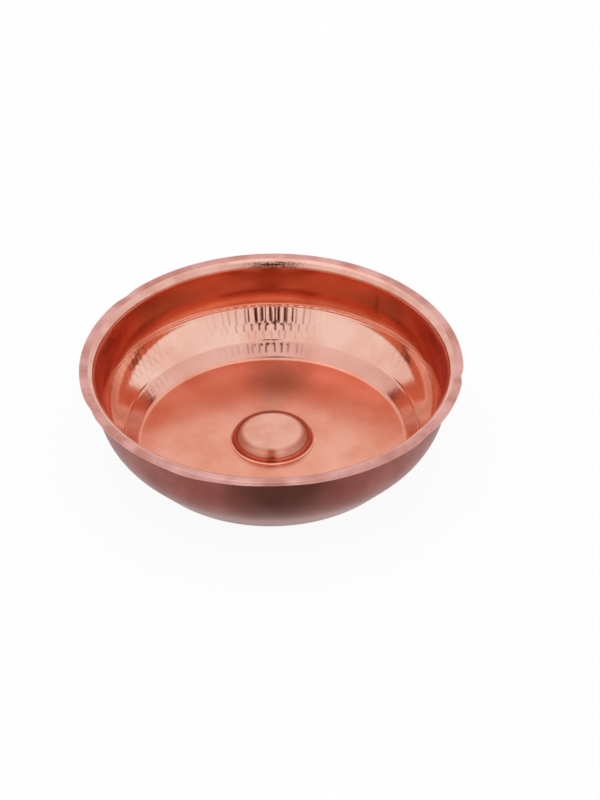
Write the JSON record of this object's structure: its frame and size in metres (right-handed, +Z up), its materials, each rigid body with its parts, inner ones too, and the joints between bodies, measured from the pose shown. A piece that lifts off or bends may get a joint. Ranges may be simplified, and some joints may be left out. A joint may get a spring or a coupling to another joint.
{
  "type": "hammam bowl",
  "caption": "Low round copper bath bowl with a rolled rim over wire, hammered inner side and a raised boss on the floor.",
  "frame": {"origin": "centre of the flat underside, where the bowl stands", "axes": "+Z up along the bowl's axis, through the middle of the boss"},
  "size_m": [0.2, 0.2, 0.052],
  "materials": {
    "bowl_copper": "hammered satin copper",
    "rim_wire_iron": "drawn iron wire",
    "boss_copper": "pressed satin copper"
  },
  "bodies": {
    "root": {"bowl_shell": "bowl_copper", "rim_wire": "rim_wire_iron", "boss": "boss_copper"}
  },
  "joints": []
}
